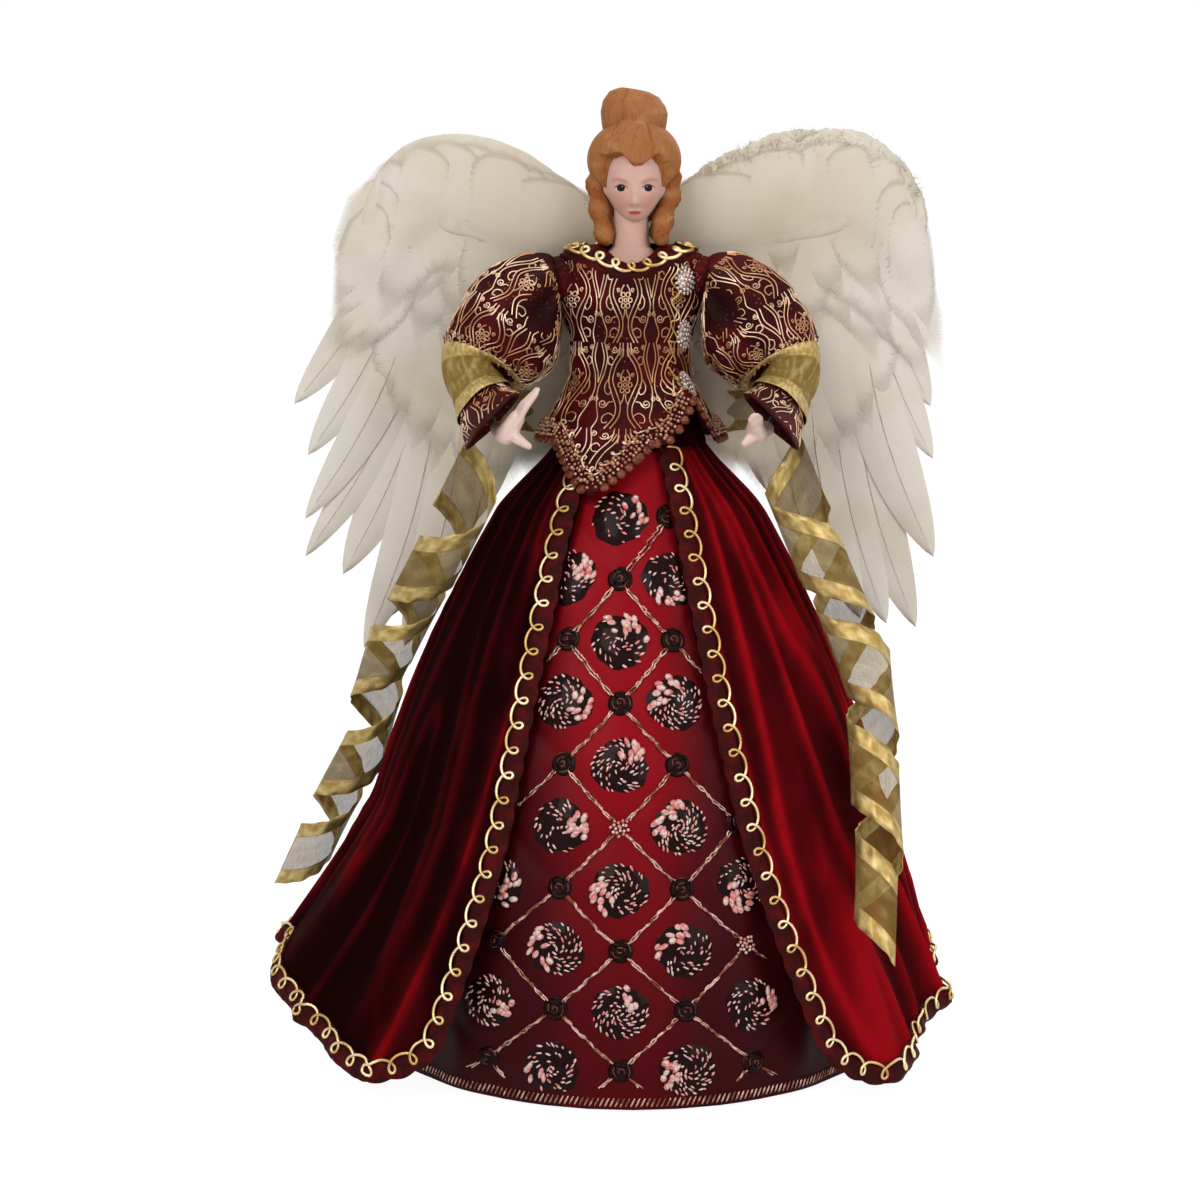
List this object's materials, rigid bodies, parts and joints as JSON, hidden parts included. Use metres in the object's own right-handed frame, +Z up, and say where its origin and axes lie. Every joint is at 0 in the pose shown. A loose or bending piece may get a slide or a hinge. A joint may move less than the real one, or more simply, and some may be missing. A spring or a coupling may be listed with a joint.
{
  "type": "angel tree topper",
  "caption": "Robed angel figure on a hollow card cone that drops over the tip of a decorated tree, with bendable arms, feathered wings and a curled ribbon stole",
  "frame": {"origin": "On the floor plane under the foot of the cone, at the middle of the whole object's box", "axes": "+Z up from the foot of the cone to the top of the bun, the figure faces -Y, +X is to the right of someone who looks at its face"},
  "size_m": [0.2996, 0.2382, 0.406],
  "materials": {
    "card": "matte",
    "foam": "matte",
    "wood": "satin",
    "wire": "satin",
    "satin": "satin",
    "velvet": "matte",
    "brocade": "satin",
    "braid": "satin",
    "gold": "gloss",
    "silver": "gloss",
    "bisque": "matte",
    "hair": "matte",
    "resin": "satin",
    "feather": "matte",
    "ribbon": "gloss"
  },
  "bodies": {
    "figure": {"base_cone": "card", "wing_plate": "card", "body_form": "foam", "neck_dowel": "wood", "underskirt": "satin", "overskirt": "velvet", "bodice": "brocade", "overskirt_braid": "braid", "bodice_hem_trim": "braid", "neck_trim": "gold", "silver_button_top": "silver", "silver_button_middle": "silver", "silver_button_bottom": "silver", "head_bust": "bisque", "hair": "hair", "left_ribbon_tail": "ribbon", "left_ribbon_swag": "ribbon", "right_ribbon_tail": "ribbon", "right_ribbon_swag": "ribbon"},
    "left_arm": {"left_arm_wire": "wire", "left_puff_sleeve": "brocade", "left_lower_sleeve": "brocade", "left_ribbon_wrap": "ribbon", "left_hand": "resin"},
    "left_wing": {"left_wing_wire": "wire", "left_wing_pad": "card", "left_flight_feather_1": "feather", "left_flight_feather_2": "feather", "left_flight_feather_3": "feather", "left_flight_feather_4": "feather", "left_flight_feather_5": "feather", "left_flight_feather_6": "feather", "left_flight_feather_7": "feather", "left_wing_coverts": "feather", "left_wing_down": "feather"},
    "right_arm": {"right_arm_wire": "wire", "right_puff_sleeve": "brocade", "right_lower_sleeve": "brocade", "right_ribbon_wrap": "ribbon", "right_hand": "resin"},
    "right_wing": {"right_wing_wire": "wire", "right_wing_pad": "card", "right_flight_feather_1": "feather", "right_flight_feather_2": "feather", "right_flight_feather_3": "feather", "right_flight_feather_4": "feather", "right_flight_feather_5": "feather", "right_flight_feather_6": "feather", "right_flight_feather_7": "feather", "right_wing_coverts": "feather", "right_wing_down": "feather"}
  },
  "joints": [
    {"name": "left_shoulder", "type": "hinge", "parent": "figure", "child": "left_arm", "pos_m": [0.01307, -0.00972, 0.325], "axis": [-1, 0, 0], "range_deg": [-10, 25], "deforming": ["left_ribbon_tail", "left_ribbon_swag"]},
    {"name": "right_shoulder", "type": "hinge", "parent": "figure", "child": "right_arm", "pos_m": [0.01307, -0.00972, 0.325], "axis": [-1, 0, 0], "range_deg": [-10, 25], "deforming": ["right_ribbon_tail", "right_ribbon_swag"]},
    {"name": "left_wing_hinge", "type": "hinge", "parent": "figure", "child": "left_wing", "pos_m": [0.00407, 0.01577, 0.31], "axis": [0, 0, -1], "range_deg": [-3, 35]},
    {"name": "right_wing_hinge", "type": "hinge", "parent": "figure", "child": "right_wing", "pos_m": [0.02207, 0.01577, 0.31], "axis": [0, 0, 1], "range_deg": [-3, 35]}
  ]
}
